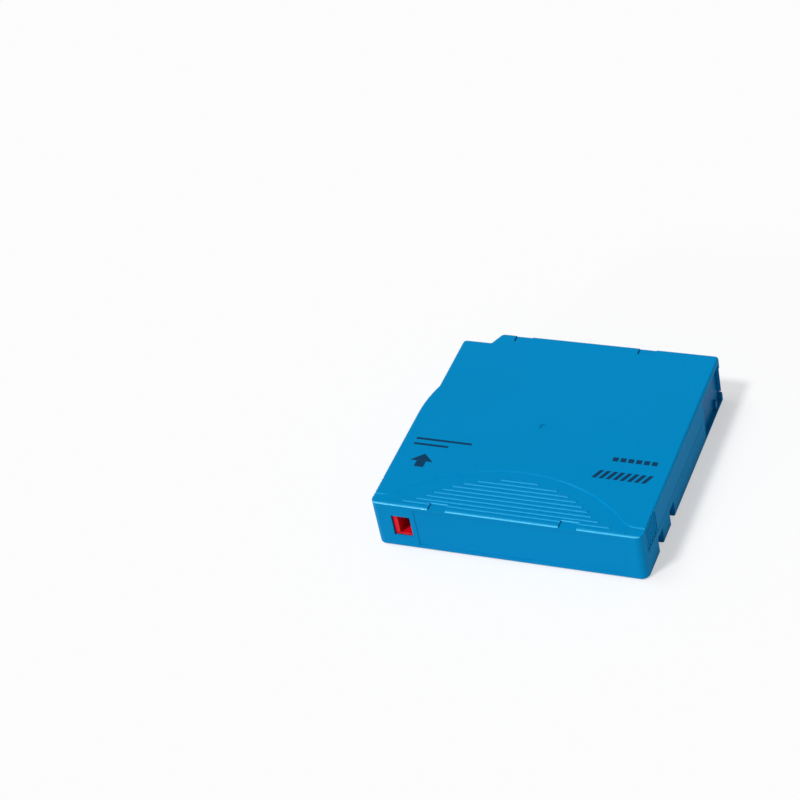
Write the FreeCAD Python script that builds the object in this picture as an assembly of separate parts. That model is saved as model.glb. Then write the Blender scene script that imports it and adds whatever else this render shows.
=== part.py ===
"""Single-reel half-inch data tape cartridge, in millimetres.

The frame: +X to the right and +Y away from someone who looks at the label side, +Z up.
The origin lies on the reel's axis, in the plane that the cartridge rests on.
"""

import FreeCAD, Part
import math
import os

from FreeCAD import Vector

FULL_TURN = 360.0

# ---- Case: two moulded shells ----
CASE_WIDTH = 105.4
CASE_LENGTH = 102.0
CASE_HEIGHT = 21.5
WALL = 1.4
PLATE = 1.5
PARTING_HEIGHT = 10.5
TOP_EDGE_RADIUS = 0.9
BOTTOM_EDGE_RADIUS = 1.1
FRONT_LEFT_RADIUS = 2.6
FRONT_RIGHT_RADIUS = 3.2
BACK_RADIUS = 1.6
LEAST_RADIUS = 0.4
LIP_WIDTH = 0.6
LIP_HEIGHT = 0.8
LIP_CLEARANCE = 0.08
PARTING_GROOVE = 0.2

# Insertion guide: the left side steps in behind the reel's axis, and the back left corner is cut
LEFT_STEP = 2.7
BACK_STEP = 5.95
BACK_STEP_WIDTH = 14.3
BACK_SLANT = 2.7
BACK_SLANT_RADIUS = 2.0
BACK_CONCAVE_RADIUS = 0.6

# Recesses in the top plate's front and back edges
EDGE_RECESS_X = (-26.2, 24.5)
EDGE_RECESS_WIDTH = 7.0
EDGE_RECESS_REACH = 3.5
EDGE_RECESS_DEPTH = 0.8
EDGE_RECESS_SLOPE = 0.35

# Thumb grip on the top plate: a lowered arch with raised ridges
GRIP_DEPTH = 0.3
GRIP_SLOPE = 0.5
GRIP_ARCH_RADIUS = 62.0
GRIP_ARCH_TOP = 25.1
GRIP_SHOULDER = 4.6
GRIP_FLARE_RADIUS = 8.0
GRIP_CENTRE_X = -0.5
RIDGE_COUNT = 10
RIDGE_PITCH = 2.15
RIDGE_START = 1.05
RIDGE_WIDTH = 1.0
RIDGE_FIELD_RADIUS = 44.5
RIDGE_FIELD_TOP = 21.0
RIDGE_FLARE_START = 8.0
RIDGE_FLARE = 0.19

# Finger grips on both sides
SIDE_GRIP_START = 3.4
SIDE_GRIP_LENGTH = 12.0
SIDE_GRIP_BOTTOM = 11.1
SIDE_GRIP_DEPTH = 0.45
SIDE_RIDGE_COUNT = 6
SIDE_RIDGE_WIDTH = 1.0

# Gripper notches in the lower edge of both sides
NOTCH_INSETS = (17.5, 31.9)
NOTCH_WIDTH = 5.6
NOTCH_HEIGHT = 7.5
NOTCH_DEPTH = 3.0
NOTCH_WALL = 1.2

# Label panel on the front wall
LABEL_LEFT_INSET = 16.9
LABEL_RIGHT_INSET = 7.4
LABEL_BOTTOM = 2.2
LABEL_TOP = 19.4
LABEL_DEPTH = 0.2

# Moulding gate mark in the middle of the top plate
GATE_X = -1.2
GATE_RADIUS = 1.7
GATE_DEPTH = 0.35

# ---- Write-protect slider behind its window ----
WINDOW_INSET = 7.4
WINDOW_WIDTH = 7.5
WINDOW_BOTTOM = 5.8
WINDOW_HEIGHT = 9.7
WINDOW_WALL = 0.7
SLIDER_LAP = 0.75
SLIDER_SETBACK = 0.2
SLIDER_LENGTH = 13.4
SLIDER_DEPTH = 7.4
SLIDER_WALL = 0.7
SLIDER_NUB_WIDTH = 1.9
SLIDER_TRAVEL = 5.2
SLIDER_CLEARANCE = 0.15
RAIL_WIDTH = 1.0
RAIL_LIP = 1.3
SLIDER_STOP_HEIGHT = 2.0

# ---- Reel ----
REEL_SIDE_GAP = 2.8
REEL_END_GAP = 1.1
FLANGE_THICKNESS = 1.1
HUB_RADIUS = 22.0
HUB_WALL = 2.0
TAPE_WIDTH = 12.65
TAPE_RIM_GAP = 3.1
TAPE_SIDE_GAP = 0.32
WIND_CLEARANCE = 0.02
REEL_REST = 2.35
REEL_SEAT_GAP = 0.1
WEB_BOTTOM = 2.9
WEB_THICKNESS = 2.3
HUB_HOLE_RADIUS = 4.5
SPIGOT_DEPTH = 1.5
SPIGOT_WALL = 0.9
SPIGOT_CLEARANCE = 0.05
HUB_RIB_COUNT = 12
HUB_RIB_WIDTH = 1.0
HUB_RIB_DEPTH = 1.2

# Drive ring under the hub
DRIVE_TEETH = 60
DRIVE_RING_INNER = 13.4
DRIVE_RING_OUTER = 17.4
DRIVE_TOOTH_HEIGHT = 1.1
DRIVE_TIP_HEIGHT = 1.75
DRIVE_PLATE_INNER = 5.2
DRIVE_PLATE_OUTER = 12.8
DRIVE_PLATE_THICKNESS = 0.9
SPINDLE_OPENING_RADIUS = 18.4
SEAT_RING_INNER = 19.1
SEAT_RING_WIDTH = 1.3

# ---- Reel brake ----
BRAKE_TEETH = 48
BRAKE_RING_INNER = 9.6
BRAKE_RING_OUTER = 12.6
BRAKE_TOOTH_HEIGHT = 1.0
BRAKE_TOOTH_TIP = 0.22
BRAKE_MESH_GAP = 0.2
BRAKE_STAND_HEIGHT = 2.2
BRAKE_DISC_RADIUS = 13.1
BRAKE_DISC_THICKNESS = 1.6
BRAKE_POST_SPAN = 8.4
BRAKE_POST_WIDTH = 1.8
BRAKE_POST_HEIGHT = 7.2
BRAKE_NOSE_RADIUS = 3.0
GUIDE_RADIUS = 6.0
GUIDE_CLEARANCE = 0.15
GUIDE_BOTTOM = 13.2
BRAKE_SPRING_WIRE = 0.8
BRAKE_SPRING_RADIUS = 7.6
BRAKE_SPRING_TURNS = 4.0
SPRING_WIRE_SIDES = 8

# Release pad: a spider whose legs stand between the drive teeth
PAD_CLEARANCE = 0.3
PAD_THICKNESS = 1.3
PAD_HUB_RADIUS = 4.2
PAD_ARM_WIDTH = 4.4
PAD_LEG_COUNT = 3
PAD_LEG_INNER = 14.2
PAD_LEG_OUTER = 16.6
PAD_LEG_CLEARANCE = 0.3
PAD_LEG_SETBACK = 0.35
PAD_TOP_GAP = 0.1

# ---- Door over the tape opening ----
DOOR_OPENING_INSET = 2.4
DOOR_OPENING_WIDTH = 22.4
DOOR_OPENING_TOP = 19.3
DOOR_SLOT_TOP = 6.0
CORNER_RELIEF = 1.0
CORNER_RELIEF_TOP = 17.0
CORNER_SILL = 3.6
DOOR_THICKNESS = 1.0
DOOR_CLEARANCE = 0.15
DOOR_EDGE_CLEARANCE = 0.3
DOOR_TAIL = 17.2
DOOR_TRAVEL = 15.5
DOOR_TAB_WIDTH = 1.5
DOOR_TAB_SETBACK = 4.9
DOOR_TAB_REACH = 1.1
DOOR_GUIDE_WIDTH = 0.75
DOOR_GUIDE_GAP = 0.2
DOOR_GUIDE_HEIGHT = 1.1
DOOR_SPRING_LENGTH = 35.0
DOOR_SPRING_RADIUS = 0.95
DOOR_SPRING_WIRE = 0.32
DOOR_SPRING_TURNS = 14.0
DOOR_SPRING_GAP = 0.8
SPRING_PEG_RADIUS = 0.6
SPRING_PEG_LENGTH = 3.0
SPRING_POST_WIDTH = 1.6
DOOR_FOOT_LENGTH = 1.2

# ---- Leader pin, its clip and its spring ----
PIN_SIDE_INSET = 6.0
PIN_BACK_INSET = 10.5
PIN_END_GAP = 0.2
PIN_SHAFT_RADIUS = 1.15
PIN_END_RADIUS = 2.2
PIN_END_THICKNESS = 0.8
PIN_NECK_LENGTH = 1.6
PIN_COLLAR_RADIUS = 2.0
PIN_COLLAR_THICKNESS = 0.7
CLIP_THICKNESS = 0.6
CLIP_CLEARANCE = 0.03
CLIP_GAP_START_ANGLE = 190.0
CLIP_GAP_END_ANGLE = 280.0
LEADER_THICKNESS = 0.2
LEADER_GAP = 0.15
LEADER_TURN_ANGLE = 12.0
SEAT_RIB_WIDTH = 1.0
SEAT_RIB_GAP = 0.15
SEAT_RIB_HEIGHT = 1.4
SEAT_RIB_LENGTH = 4.0
SEAT_RING_START_ANGLE = 142.0
SEAT_RING_END_ANGLE = 270.0
PIN_SPRING_THICKNESS = 0.3
PIN_SPRING_ARM_HEIGHT = 1.0
PIN_SPRING_LENGTH = 7.1
PIN_SPRING_TIP = 1.3
PIN_SPRING_HOOK = 0.9
PIN_SPRING_GAP = 0.25
PIN_SPRING_RIB = 0.6

# ---- Cartridge memory ----
BOARD_INSET = 4.5
BOARD_LENGTH = 13.8
BOARD_WIDTH = 8.0
BOARD_THICKNESS = 0.6
BOARD_BOTTOM = 2.6
BOARD_BACK_GAP = 0.5
BOARD_TILT = 45.0
BOARD_RIB_WIDTH = 1.0
CHIP_LENGTH = 4.0
CHIP_WIDTH = 3.0
CHIP_HEIGHT = 0.7

# ---- Screws and locating holes ----
FRONT_LEFT_SCREW_INSETS = (7.1, 13.4)
FRONT_RIGHT_SCREW_INSETS = (6.5, 6.5)
BACK_LEFT_SCREW_INSETS = (8.0, 20.0)
BACK_RIGHT_SCREW_INSETS = (16.9, 5.0)
BOSS_RADIUS = 2.9
BOSS_TOP = 9.0
SCREW_HEAD_RADIUS = 1.9
SCREW_HEAD_HEIGHT = 1.2
SCREW_HEAD_SETBACK = 0.6
SCREW_SHAFT_RADIUS = 0.9
SCREW_LENGTH = 12.5
SCREW_HOLE_CLEARANCE = 0.25
SCREW_PILOT_CLEARANCE = 0.05
SCREW_RECESS_SPAN = 2.2
SCREW_RECESS_WIDTH = 0.5
SCREW_RECESS_DEPTH = 0.7
LOCATING_RADIUS = 2.0
LOCATING_DEPTH = 4.0
LOCATING_SIDE_INSET = 24.2
LOCATING_INSET = 6.0
LOCATING_SLOT = 2.0
LOCATING_WALL = 1.2

# Walls inside both shells that follow the reel, as start and end angles
REEL_WALL_GAP = 1.2
REEL_WALL_WIDTH = 1.0
REEL_WALL_HEIGHT = 6.5
REEL_WALLS = ((205.0, 247.0), (293.0, 330.0), (118.0, 150.0), (64.0, 78.0))

# ---- Places worked out from the sizes above ----
HALF_WIDTH = CASE_WIDTH / 2
HALF_LENGTH = CASE_LENGTH / 2
CEILING = CASE_HEIGHT - PLATE
INNER_X = HALF_WIDTH - WALL
INNER_Y = HALF_LENGTH - WALL
NOTCH_Y = [inset - HALF_LENGTH for inset in NOTCH_INSETS]
LABEL_LEFT = LABEL_LEFT_INSET - HALF_WIDTH
LABEL_RIGHT = HALF_WIDTH - LABEL_RIGHT_INSET
WINDOW_LEFT = WINDOW_INSET - HALF_WIDTH
REEL_RADIUS = min(INNER_X - REEL_SIDE_GAP, INNER_Y - REEL_END_GAP)
REEL_WALL_RADIUS = REEL_RADIUS + REEL_WALL_GAP
TAPE_RADIUS = REEL_RADIUS - TAPE_RIM_GAP
LOWER_FLANGE_TOP = REEL_REST + FLANGE_THICKNESS
TAPE_BOTTOM = LOWER_FLANGE_TOP + TAPE_SIDE_GAP
TAPE_TOP = TAPE_BOTTOM + TAPE_WIDTH
UPPER_FLANGE_BOTTOM = TAPE_TOP + TAPE_SIDE_GAP
WEB_TOP = WEB_BOTTOM + WEB_THICKNESS
BRAKE_ROOT = WEB_TOP + BRAKE_STAND_HEIGHT
BRAKE_DISC_BOTTOM = BRAKE_ROOT + BRAKE_TOOTH_HEIGHT + BRAKE_MESH_GAP
BRAKE_DISC_TOP = BRAKE_DISC_BOTTOM + BRAKE_DISC_THICKNESS
PAD_BOTTOM = WEB_TOP + PAD_CLEARANCE
PAD_TOP = PAD_BOTTOM + PAD_THICKNESS
DOOR_OPENING_END = HALF_LENGTH - DOOR_OPENING_INSET
DOOR_OPENING_START = DOOR_OPENING_END - DOOR_OPENING_WIDTH
DOOR_OUTER_X = INNER_X - DOOR_CLEARANCE
DOOR_INNER_X = DOOR_OUTER_X - DOOR_THICKNESS
DOOR_BOTTOM = PLATE + DOOR_EDGE_CLEARANCE
DOOR_TOP = CEILING - DOOR_EDGE_CLEARANCE
DOOR_END = DOOR_OPENING_END - DOOR_CLEARANCE
DOOR_TAIL_END = DOOR_OPENING_START - DOOR_TAIL
SPRING_AXIS_X = DOOR_OUTER_X - DOOR_SPRING_RADIUS - DOOR_SPRING_WIRE / 2
SPRING_AXIS_HEIGHT = (NOTCH_HEIGHT + NOTCH_WALL + DOOR_SPRING_GAP
                      + DOOR_SPRING_RADIUS + DOOR_SPRING_WIRE / 2)
SPRING_POST_Y = DOOR_TAIL_END - DOOR_SPRING_LENGTH
PIN_X = HALF_WIDTH - PIN_SIDE_INSET
PIN_Y = HALF_LENGTH - PIN_BACK_INSET
PIN_SPRING_BASE_X = PIN_X - PIN_SPRING_LENGTH
PIN_BOTTOM = PLATE + PIN_END_GAP
PIN_TOP = CEILING - PIN_END_GAP
SLIDER_LEFT = WINDOW_LEFT + SLIDER_SETBACK
SLIDER_RIGHT = SLIDER_LEFT + SLIDER_LENGTH
SLIDER_FRONT = WINDOW_WALL + SLIDER_CLEARANCE - HALF_LENGTH
SLIDER_BACK = SLIDER_FRONT + SLIDER_DEPTH
SLIDER_BOTTOM = WINDOW_BOTTOM - SLIDER_LAP
SLIDER_TOP = WINDOW_BOTTOM + WINDOW_HEIGHT + SLIDER_LAP
SCREW_SEAT = SCREW_HEAD_SETBACK + SCREW_HEAD_HEIGHT
SCREW_PLACES = (
    (FRONT_LEFT_SCREW_INSETS[0] - HALF_WIDTH, FRONT_LEFT_SCREW_INSETS[1] - HALF_LENGTH),
    (HALF_WIDTH - FRONT_RIGHT_SCREW_INSETS[0], FRONT_RIGHT_SCREW_INSETS[1] - HALF_LENGTH),
    (BACK_LEFT_SCREW_INSETS[0] - HALF_WIDTH, HALF_LENGTH - BACK_LEFT_SCREW_INSETS[1]),
    (HALF_WIDTH - BACK_RIGHT_SCREW_INSETS[0], HALF_LENGTH - BACK_RIGHT_SCREW_INSETS[1]),
)
LOCATING_X = HALF_WIDTH - LOCATING_SIDE_INSET
LOCATING_Y = HALF_LENGTH - LOCATING_INSET
BOARD_LEFT = BOARD_INSET - HALF_WIDTH
BOARD_BACK = HALF_LENGTH - BACK_STEP - WALL - BOARD_BACK_GAP

OVERRUN = 1.0


# ---------------------------------------------------------------- shapes
def box(x0, x1, y0, y1, z0, z1):
    """A block between two corners."""
    return Part.makeBox(x1 - x0, y1 - y0, z1 - z0, Vector(x0, y0, z0))


def cylinder(radius, z0, z1, x=0.0, y=0.0):
    """An upright cylinder."""
    return Part.makeCylinder(radius, z1 - z0, Vector(x, y, z0))


def tube(inner, outer, z0, z1, x=0.0, y=0.0):
    """An upright ring."""
    return cylinder(outer, z0, z1, x, y).cut(cylinder(inner, z0, z1, x, y))


def turned(profile):
    """A solid turned about the Z axis from (radius, height) points."""
    points = [Vector(r, 0, z) for r, z in profile]
    face = Part.Face(Part.makePolygon(points + points[:1]))
    return face.revolve(Vector(0, 0, 0), Vector(0, 0, 1), FULL_TURN)


def arc_wall(inner, outer, start, end, z0, z1, x=0.0, y=0.0):
    """An upright wall that follows a circle from one angle to another, in degrees."""
    corners = [Vector(inner, 0, z0), Vector(outer, 0, z0), Vector(outer, 0, z1), Vector(inner, 0, z1)]
    face = Part.Face(Part.makePolygon(corners + corners[:1]))
    face.rotate(Vector(0, 0, 0), Vector(0, 0, 1), start)
    wall = face.revolve(Vector(0, 0, 0), Vector(0, 0, 1), end - start)
    wall.translate(Vector(x, y, 0))
    return wall


def turned_copies(shape, count):
    """Copies of a shape, evenly spaced about the Z axis."""
    copies = []
    for i in range(count):
        copy = shape.copy()
        copy.rotate(Vector(0, 0, 0), Vector(0, 0, 1), FULL_TURN * i / count)
        copies.append(copy)
    return copies


def rounded_loop(corners, bows=None):
    """A closed plane wire through (x, y, radius) corners. bows maps a corner's index to
    a point that the side after it bows through."""
    bows = bows or {}
    count = len(corners)
    points = [Vector(x, y, 0) for x, y, _ in corners]
    starts, ends, arcs = {}, {}, {}
    for i, (_, _, radius) in enumerate(corners):
        here = points[i]
        if radius <= 0:
            starts[i] = ends[i] = here
            continue
        back = (points[i - 1] - here).normalize()
        ahead = (points[(i + 1) % count] - here).normalize()
        half = back.getAngle(ahead) / 2
        reach = radius / math.tan(half)
        middle = (back + ahead).normalize() * (radius / math.sin(half) - radius)
        ends[i] = here + back * reach
        starts[i] = here + ahead * reach
        arcs[i] = Part.Arc(ends[i], here + middle, starts[i]).toShape()
    edges = []
    for i in range(count):
        if i in arcs:
            edges.append(arcs[i])
        following = (i + 1) % count
        if i in bows:
            edges.append(Part.Arc(starts[i], Vector(*bows[i], 0), ends[following]).toShape())
        else:
            edges.append(Part.makeLine(starts[i], ends[following]))
    return Part.Wire(edges)


def prism(wire, z0, z1):
    """A plane wire, drawn at height 0, made into a solid between two heights."""
    face = Part.Face(wire)
    face.translate(Vector(0, 0, z0))
    return face.extrude(Vector(0, 0, z1 - z0))


def ribbon(points, thickness):
    """A closed wire round a plane strip of even thickness along (x, y) points."""
    line = [Vector(x, y, 0) for x, y in points]
    left, right = [], []
    for i, here in enumerate(line):
        before = (here - line[i - 1]).normalize() if i else (line[1] - here).normalize()
        after = (line[i + 1] - here).normalize() if i < len(line) - 1 else before
        along = (before + after).normalize()
        across = Vector(-along.y, along.x, 0)
        reach = thickness / 2 / math.cos(before.getAngle(after) / 2)
        left.append(here + across * reach)
        right.append(here - across * reach)
    loop = left + right[::-1]
    return Part.makePolygon(loop + loop[:1])


def face_tooth(count, inner, outer, height, tip, z, up):
    """One tooth of a face gear: a wedge along +X with a flat tip of the given width at
    the outer radius. Teeth and gaps are alike there."""
    sign = 1 if up else -1

    def section(radius):
        pitch = 2 * math.pi * radius / count
        land = tip * radius / outer
        base = pitch - land
        corners = [
            Vector(radius, -base / 2, z),
            Vector(radius, base / 2, z),
            Vector(radius, land / 2, z + sign * height),
            Vector(radius, -land / 2, z + sign * height),
        ]
        return Part.makePolygon(corners + corners[:1])

    return Part.makeLoft([section(inner), section(outer)], True, True)


def coil(radius, wire, turns, length):
    """An open compression spring along +Z, its wire's centre starting at height 0. The
    wire has flats, SPRING_WIRE_SIDES of them, and is as thick as given across corners."""
    path = Part.makeHelix(length / turns, length, radius)
    corners = []
    for i in range(SPRING_WIRE_SIDES):
        turn = 2 * math.pi * (i + 0.5) / SPRING_WIRE_SIDES
        corners.append(Vector(radius + wire / 2 * math.cos(turn), 0, wire / 2 * math.sin(turn)))
    section = Part.makePolygon(corners + corners[:1])
    return Part.Wire(path.Edges).makePipeShell([section], True, True)


def mirrored(shape):
    """The same shape on the case's other side."""
    return shape.mirror(Vector(0, 0, 0), Vector(1, 0, 0))


# ---------------------------------------------------------------- case
def case_plan(inset):
    """The case's outline from above, moved in by a distance."""
    w = HALF_WIDTH - inset
    l = HALF_LENGTH - inset
    step_x = LEFT_STEP - w
    step_y = l - BACK_STEP
    arc_end = math.sqrt(w * w - step_x * step_x)
    slant_shift = inset * math.hypot(BACK_SLANT, BACK_STEP) / BACK_STEP
    slant_foot = -HALF_WIDTH + BACK_STEP_WIDTH + slant_shift - inset * BACK_SLANT / BACK_STEP
    half_turn = math.atan2(arc_end, -step_x) / 2
    bow = (-w * math.cos(half_turn), w * math.sin(half_turn))
    arc_start = (step_x, arc_end, 0)
    corners = [
        (-w, -l, max(FRONT_LEFT_RADIUS - inset, LEAST_RADIUS)),
        (w, -l, max(FRONT_RIGHT_RADIUS - inset, LEAST_RADIUS)),
        (w, l, max(BACK_RADIUS - inset, LEAST_RADIUS)),
        (slant_foot + BACK_SLANT, l, max(BACK_SLANT_RADIUS - inset, LEAST_RADIUS)),
        (slant_foot, step_y, BACK_CONCAVE_RADIUS + inset),
        (step_x, step_y, max(BACK_RADIUS - inset, LEAST_RADIUS)),
        arc_start,
        (-w, 0, 0),
    ]
    return rounded_loop(corners, {corners.index(arc_start): bow})


def edges_at(shape, z):
    """The edges that lie wholly at a height."""
    level = []
    for edge in shape.Edges:
        box_ = edge.BoundBox
        if abs(box_.ZMin - z) < 1e-4 and abs(box_.ZMax - z) < 1e-4:
            level.append(edge)
    return level


def parting_groove(z0, z1):
    """The fine line where the shells meet, round the sides and the back."""
    ring = prism(case_plan(-OVERRUN), z0, z1).cut(prism(case_plan(PARTING_GROOVE), z0, z1))
    front = box(-CASE_WIDTH, CASE_WIDTH, -CASE_LENGTH, FRONT_RIGHT_RADIUS - HALF_LENGTH, z0, z1)
    return ring.cut(front)


def lip(z0, z1, clearance):
    """The lap inside the wall that joins the two shells."""
    outer = prism(case_plan(WALL - LIP_WIDTH - clearance), z0, z1)
    ring = outer.cut(prism(case_plan(WALL), z0, z1))
    return ring.cut(lip_gaps(z0, z1))


def lip_gaps(z0, z1):
    """Where the lap stops: along the slider's channel and at the tape opening."""
    window = box(-INNER_X, SLIDER_RIGHT + OVERRUN, -CASE_LENGTH, -INNER_Y + OVERRUN, z0, z1)
    opening = box(INNER_X - OVERRUN, CASE_WIDTH, DOOR_OPENING_START - OVERRUN, CASE_LENGTH, z0, z1)
    return window.fuse(opening)


def tape_opening():
    """The opening that the door closes, the slot for its opener and the corner relief."""
    inner = INNER_X - OVERRUN
    outer = HALF_WIDTH + OVERRUN
    back = HALF_LENGTH + OVERRUN
    opening = box(inner, outer, DOOR_OPENING_START, DOOR_OPENING_END, PLATE, DOOR_OPENING_TOP)
    slot_mouth = box(INNER_X, outer, DOOR_OPENING_END, back, CORNER_SILL, DOOR_SLOT_TOP)
    slope_end = HALF_WIDTH - CORNER_RELIEF * (back - DOOR_OPENING_END) / DOOR_OPENING_INSET
    corners = [Vector(HALF_WIDTH, DOOR_OPENING_END, 0), Vector(outer, DOOR_OPENING_END, 0),
               Vector(outer, back, 0), Vector(slope_end, back, 0)]
    relief = prism(Part.makePolygon(corners + corners[:1]), CORNER_SILL, CORNER_RELIEF_TOP)
    return opening.multiFuse([slot_mouth, relief])


def slider_window():
    """The window in the front wall, and the channel behind it that the slider runs along."""
    window = box(WINDOW_LEFT, WINDOW_LEFT + WINDOW_WIDTH, -HALF_LENGTH - OVERRUN, SLIDER_FRONT,
                 WINDOW_BOTTOM, WINDOW_BOTTOM + WINDOW_HEIGHT)
    gap = SLIDER_CLEARANCE
    channel = box(SLIDER_LEFT - SLIDER_TRAVEL - gap, SLIDER_RIGHT + gap, SLIDER_FRONT - gap,
                  -INNER_Y + gap, SLIDER_BOTTOM - gap, SLIDER_TOP + gap)
    return window.fuse(channel)


def label_panel():
    """The shallow recess for the label, on the front wall."""
    return box(LABEL_LEFT, LABEL_RIGHT, -HALF_LENGTH - OVERRUN, -HALF_LENGTH + LABEL_DEPTH,
               LABEL_BOTTOM, LABEL_TOP)


def slider_rails(floor, rail_end, lip_end):
    """The rail that carries the slider's back edge, with the lip that stops it going inwards."""
    left = -INNER_X
    right = SLIDER_RIGHT + OVERRUN
    lip_y = SLIDER_BACK + SLIDER_CLEARANCE
    return [
        box(left, right, SLIDER_BACK - RAIL_WIDTH, lip_y + RAIL_WIDTH, *sorted((floor, rail_end))),
        box(left, right, lip_y, lip_y + RAIL_WIDTH, *sorted((floor, lip_end))),
    ]


def slider_stops():
    """Ribs that the slider stops against at both ends of its travel."""
    y0 = SLIDER_BACK - RAIL_WIDTH
    y1 = SLIDER_BACK + SLIDER_CLEARANCE + RAIL_WIDTH
    top = SLIDER_BOTTOM + SLIDER_STOP_HEIGHT
    left = SLIDER_LEFT - SLIDER_TRAVEL - SLIDER_CLEARANCE
    right = SLIDER_RIGHT + SLIDER_CLEARANCE
    return [box(-INNER_X, left, y0, y1, PLATE, top), box(right, right + RAIL_WIDTH, y0, y1, PLATE, top)]


def reel_walls(z0, z1):
    """Walls that follow the reel's rim."""
    outer = REEL_WALL_RADIUS + REEL_WALL_WIDTH
    return [arc_wall(REEL_WALL_RADIUS, outer, a, b, z0, z1) for a, b in REEL_WALLS]


def pin_seat(z0, z1):
    """The open ring that takes one end of the leader pin, and ribs that hold its spring."""
    inner = PIN_END_RADIUS + SEAT_RIB_GAP
    ring = arc_wall(inner, inner + SEAT_RIB_WIDTH, SEAT_RING_START_ANGLE, SEAT_RING_END_ANGLE,
                    z0, z1, PIN_X, PIN_Y)
    rib_start = INNER_Y - SEAT_RIB_LENGTH
    near_x = PIN_SPRING_BASE_X - SEAT_RIB_GAP
    near = box(near_x - PIN_SPRING_RIB, near_x, rib_start, INNER_Y, z0, z1)
    far_x = PIN_SPRING_BASE_X + PIN_SPRING_THICKNESS + SEAT_RIB_GAP
    far = box(far_x, far_x + PIN_SPRING_RIB, rib_start, INNER_Y, z0, z1)
    return [ring, near, far]


def door_guides(z0, z1):
    """Low ribs that keep the door against the wall, on both sides of the tape opening."""
    outer = DOOR_INNER_X - DOOR_GUIDE_GAP
    inner = outer - DOOR_GUIDE_WIDTH
    open_end = DOOR_END - DOOR_TRAVEL
    return [
        box(inner, outer, DOOR_TAIL_END - DOOR_TRAVEL, open_end - OVERRUN, z0, z1),
        box(inner, outer, INNER_Y - SEAT_RIB_LENGTH, INNER_Y, z0, z1),
    ]


def grip_outline(grow, z):
    """The thumb grip's outline at a height, moved out by a distance: an arch whose feet
    flare into straight shoulders, closed in front of the case."""
    arch = GRIP_ARCH_RADIUS + grow
    flare = GRIP_FLARE_RADIUS - grow
    shoulder = GRIP_SHOULDER - HALF_LENGTH + grow
    centre_y = GRIP_ARCH_TOP - HALF_LENGTH - GRIP_ARCH_RADIUS
    flare_y = shoulder + flare
    flare_x = math.sqrt((arch + flare) ** 2 - (flare_y - centre_y) ** 2)
    share = arch / (arch + flare)
    join = (flare_x * share, centre_y + (flare_y - centre_y) * share)
    half = math.atan2(flare_x, flare_y - centre_y) / 2
    flare_bow = (flare_x - flare * math.sin(half), flare_y - flare * math.cos(half))

    def right(point):
        return Vector(GRIP_CENTRE_X + point[0], point[1], z)

    def left(point):
        return Vector(GRIP_CENTRE_X - point[0], point[1], z)

    side = CASE_WIDTH
    front = -CASE_LENGTH
    foot = (flare_x, shoulder)
    corners = [left(foot), Vector(-side, shoulder, z), Vector(-side, front, z),
               Vector(side, front, z), Vector(side, shoulder, z), right(foot)]
    edges = [Part.makeLine(a, b) for a, b in zip(corners, corners[1:])]
    edges.append(Part.Arc(right(foot), right(flare_bow), right(join)).toShape())
    crown = (0, centre_y + arch)
    edges.append(Part.Arc(right(join), right(crown), left(join)).toShape())
    edges.append(Part.Arc(left(join), left(flare_bow), left(foot)).toShape())
    return Part.Wire(edges)


def grip_arch():
    """The lowered arch under the thumb, with a sloping edge."""
    floor = CASE_HEIGHT - GRIP_DEPTH
    above = CASE_HEIGHT + GRIP_DEPTH
    return Part.makeLoft([grip_outline(0, floor), grip_outline(2 * GRIP_SLOPE, above)], True, True)


def grip_ridges():
    """Raised ridges across the arch, their ends on a circle that flares towards the front."""
    half = RIDGE_WIDTH / 2
    radius = (half * half + GRIP_DEPTH * GRIP_DEPTH) / (2 * GRIP_DEPTH)
    centre_y = RIDGE_FIELD_TOP - HALF_LENGTH - RIDGE_FIELD_RADIUS
    ridges = []
    for i in range(RIDGE_COUNT):
        y = RIDGE_START - HALF_LENGTH + RIDGE_PITCH * i
        reach = math.sqrt(RIDGE_FIELD_RADIUS ** 2 - (y - centre_y) ** 2)
        reach += RIDGE_FLARE * max(RIDGE_FLARE_START - HALF_LENGTH - y, 0) ** 2
        bar = Part.makeCylinder(radius, 2 * reach, Vector(GRIP_CENTRE_X - reach, y, CASE_HEIGHT - radius),
                                Vector(1, 0, 0))
        ridges.append(bar)
    field = box(-CASE_WIDTH, CASE_WIDTH, -HALF_LENGTH + RIDGE_START - half, 0,
                CASE_HEIGHT - GRIP_DEPTH - 0.1, CASE_HEIGHT)
    return [bar.common(field) for bar in ridges]


def edge_recesses():
    """The four shallow recesses in the top plate's front and back edges, each with a
    sloping inner edge."""
    floor = CASE_HEIGHT - EDGE_RECESS_DEPTH
    slope_foot = CASE_HEIGHT - EDGE_RECESS_SLOPE
    above = CASE_HEIGHT + EDGE_RECESS_SLOPE
    inner = EDGE_RECESS_REACH - HALF_LENGTH
    outer = -HALF_LENGTH - OVERRUN
    cuts = []
    for x in EDGE_RECESS_X:
        x0 = x - EDGE_RECESS_WIDTH / 2
        corners = [Vector(x0, outer, floor), Vector(x0, inner, floor), Vector(x0, inner, slope_foot),
                   Vector(x0, inner + 2 * EDGE_RECESS_SLOPE, above), Vector(x0, outer, above)]
        face = Part.Face(Part.makePolygon(corners + corners[:1]))
        front = face.extrude(Vector(EDGE_RECESS_WIDTH, 0, 0))
        cuts += [front, front.mirror(Vector(0, 0, 0), Vector(0, 1, 0))]
    return cuts


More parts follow.
